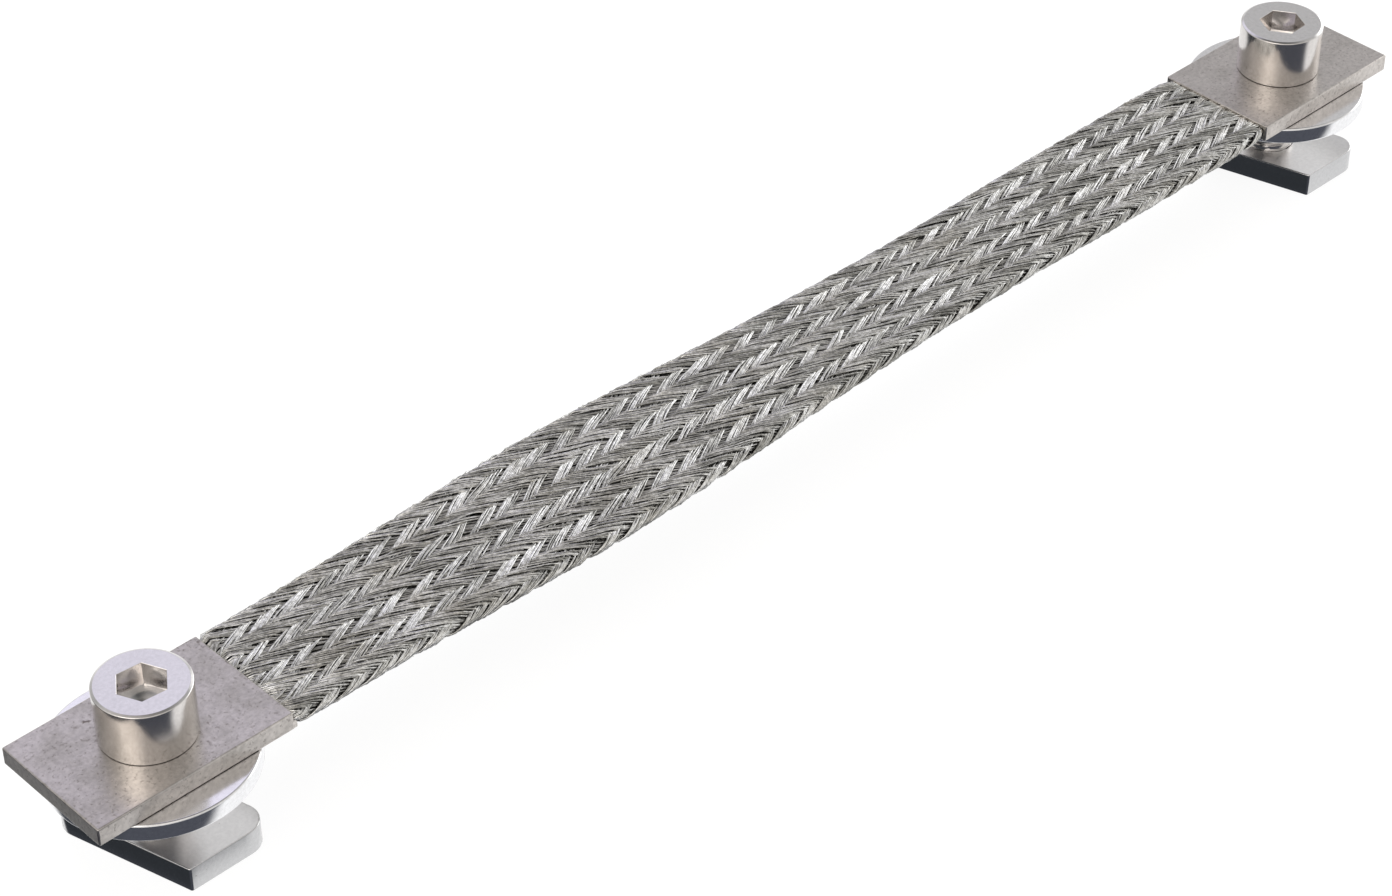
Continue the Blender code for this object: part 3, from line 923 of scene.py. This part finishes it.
# The studio: a white floor, and a world whose lower half is only seen in reflections
studio = {
    "floorSize": 6.0,
    "floorDrop": 0.03 * mm,
    "floorGlow": 0.9,
    "floorColor": (0.16, 0.16, 0.16, 1),
    # how light the sky is: the sine of the elevation and the level there
    "skyStops": ((0.0, 1.0), (0.1, 0.95), (0.32, 0.6), (0.7, 0.47), (0.84, 0.36),
                 (0.94, 0.14), (1.0, 0.06)),
    "lightSide": (0.78, 0.6, 0.15),
    "lightSideEdge": (-0.6, 0.8),
    "lightSideShares": (0.5, 1.1),
    # azimuth and elevation of a soft light, its inner and outer radius in degrees, its colour
    "softLights": (
        (64, 46, 10, 26, (0.42, 0.40, 0.54)),
        (0, 14, 8, 32, (1.7, 1.7, 1.7)),
        (-60, 40, 15, 50, (0.32, 0.31, 0.29)),
        (-165, 38, 30, 70, (0.58, 0.55, 0.52)),
        (-168, 46, 9, 24, (1.8, 1.72, 1.6)),
    ),
    # under the horizon: white towards one azimuth, slate away from it, darkest at another
    "whiteAzimuth": 23,
    "whiteEdge": (-0.09, 0.16),
    "darkAzimuth": 152,
    "darkEdge": (0.4, 0.72),
    "slate": (0.075, 0.080, 0.098, 1),
    "darkest": (0.040, 0.045, 0.052, 1),
    "horizon": (-0.06, 0.03),
    "lampPlace": (0.25, 0.35, 0.8),   # m
    "lampSize": 0.5,                  # m
    "lampPower": 4.0,                 # W
}


# how much a direction points towards an azimuth
def towards(tree, direction, azimuth, elevation=0):
    a, e = math.radians(azimuth), math.radians(elevation)
    aim = (math.cos(a) * math.cos(e), math.sin(a) * math.cos(e), math.sin(e))
    return addNode(tree, "ShaderNodeVectorMath", {0: direction, 1: aim},
                   operation="DOT_PRODUCT").outputs["Value"]


def makeWorld():
    world = bpy.data.worlds.new("studio")
    bpy.context.scene.world = world
    world.use_nodes = True
    tree = world.node_tree
    direction = addNode(tree, "ShaderNodeTexCoord").outputs["Generated"]
    height = addNode(tree, "ShaderNodeSeparateXYZ", {0: direction}).outputs["Z"]
    ramp = addNode(tree, "ShaderNodeValToRGB", {0: height})
    stops = studio["skyStops"]
    while len(ramp.color_ramp.elements) < len(stops):
        ramp.color_ramp.elements.new(0.5)
    for element, (place, value) in zip(ramp.color_ramp.elements, stops):
        element.position = place
        element.color = (value, value, value, 1)
    side = addNode(tree, "ShaderNodeVectorMath", {0: direction, 1: studio["lightSide"]},
                   operation="DOT_PRODUCT").outputs["Value"]
    side = spread(tree, side, *studio["lightSideEdge"], *studio["lightSideShares"])
    total = addNode(tree, "ShaderNodeVectorMath", {0: ramp.outputs[0], "Scale": side},
                    operation="SCALE").outputs[0]
    for azimuth, elevation, inner, outer, color in studio["softLights"]:
        facing = towards(tree, direction, azimuth, elevation)
        share = spread(tree, facing, math.cos(math.radians(outer)), math.cos(math.radians(inner)))
        light = addNode(tree, "ShaderNodeVectorMath", {0: color, "Scale": share},
                        operation="SCALE").outputs[0]
        total = addNode(tree, "ShaderNodeVectorMath", {0: total, 1: light},
                        operation="ADD").outputs[0]
    white = spread(tree, towards(tree, direction, studio["whiteAzimuth"]), *studio["whiteEdge"])
    dark = spread(tree, towards(tree, direction, studio["darkAzimuth"]), *studio["darkEdge"])
    low = mixColor(tree, dark, studio["slate"], studio["darkest"])
    low = mixColor(tree, white, low, (1, 1, 1, 1))
    whole = mixColor(tree, spread(tree, height, *studio["horizon"]), low, total)
    tree.links.new(whole, tree.nodes["Background"].inputs["Color"])


def makeFloor():
    bm = bmesh.new()
    half = studio["floorSize"] / 2
    bmesh.ops.create_grid(bm, x_segments=2, y_segments=2, size=half)
    bmesh.ops.translate(bm, vec=(0, 0, -studio["floorDrop"]), verts=bm.verts)
    floor = looseObject("studioFloor", bm)
    material = bpy.data.materials.new("white floor")
    material.use_nodes = True
    tree = material.node_tree
    tree.nodes.remove(tree.nodes["Principled BSDF"])
    paths = addNode(tree, "ShaderNodeLightPath").outputs
    seen = calc(tree, "MAXIMUM", paths["Is Camera Ray"], paths["Is Glossy Ray"])
    seen = calc(tree, "MAXIMUM", seen, paths["Is Transmission Ray"])
    strength = calc(tree, "MULTIPLY", seen, studio["floorGlow"])
    glow = addNode(tree, "ShaderNodeEmission", {"Color": (1, 1, 1, 1), "Strength": strength})
    paint = addNode(tree, "ShaderNodeBsdfDiffuse", {"Color": studio["floorColor"]})
    both = addNode(tree, "ShaderNodeAddShader", {0: glow.outputs[0], 1: paint.outputs[0]})
    tree.links.new(both.outputs[0], tree.nodes["Material Output"].inputs["Surface"])
    floor.data.materials.append(material)
    floor.visible_glossy = False
    floor.visible_shadow = False


def makeKeyLight():
    lamp = bpy.data.lights.new("keyLight", "AREA")
    lamp.shape = "SQUARE"
    lamp.size = studio["lampSize"]
    lamp.energy = studio["lampPower"]
    item = bpy.data.objects.new("keyLight", lamp)
    bpy.context.scene.collection.objects.link(item)
    item.location = studio["lampPlace"]
    item.rotation_mode = "QUATERNION"
    item.rotation_quaternion = (-item.location).normalized().to_track_quat("-Z", "Y")
    item.visible_glossy = False


makeWorld()
makeFloor()
makeKeyLight()
bpy.context.scene.view_settings.view_transform = "Standard"
print("studio made")
